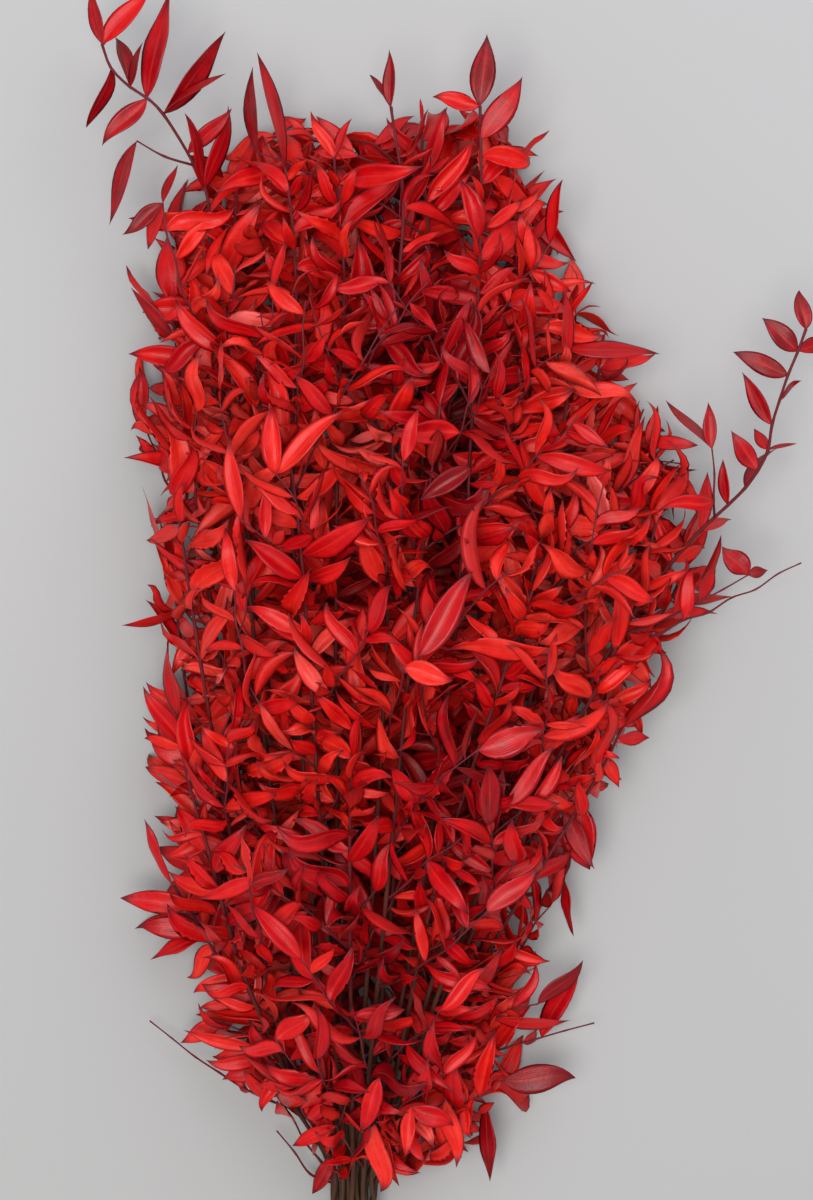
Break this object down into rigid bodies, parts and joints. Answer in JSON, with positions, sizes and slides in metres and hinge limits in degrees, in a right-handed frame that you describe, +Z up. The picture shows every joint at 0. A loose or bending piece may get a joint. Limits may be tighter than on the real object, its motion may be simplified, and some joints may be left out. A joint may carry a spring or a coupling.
{
  "type": "dried ruscus bunch",
  "caption": "Bunch of dyed, dried ruscus sprigs tied near their cut ends and lying on its side: pointed red leaves on forked stems that fan out into a long, flat-bottomed plume.",
  "frame": {"origin": "middle of the underside of the box round the bunch, on the surface it lies on", "axes": "+Z up, -Y towards the cut stem ends, +Y towards the leafy tips, +X towards the sprig that forks off to the side"},
  "size_m": [0.4182, 0.764, 0.1529],
  "materials": {
    "leaf_red": "dyed and preserved leaf, satin, orange-red to maroon with darker edges",
    "stem_brown": "thin dried stem, matte, dye-stained brown to olive",
    "band_tan": "plain tan rubber band, matte"
  },
  "bodies": {
    "root": {"sprig_01": "leaf_red", "sprig_02": "leaf_red", "sprig_03": "leaf_red", "sprig_04": "leaf_red", "sprig_05": "leaf_red", "sprig_06": "leaf_red", "sprig_07": "leaf_red", "sprig_08": "leaf_red", "sprig_09": "leaf_red", "sprig_10": "leaf_red", "sprig_11": "leaf_red", "sprig_12": "leaf_red", "sprig_13": "leaf_red", "sprig_14": "leaf_red", "sprig_15": "leaf_red", "sprig_16": "leaf_red", "sprig_17": "leaf_red", "sprig_18": "leaf_red", "sprig_19": "leaf_red", "sprig_20": "leaf_red", "sprig_21": "leaf_red", "sprig_22": "leaf_red", "sprig_23": "leaf_red", "sprig_24": "leaf_red", "binding_band": "band_tan"}
  },
  "joints": []
}
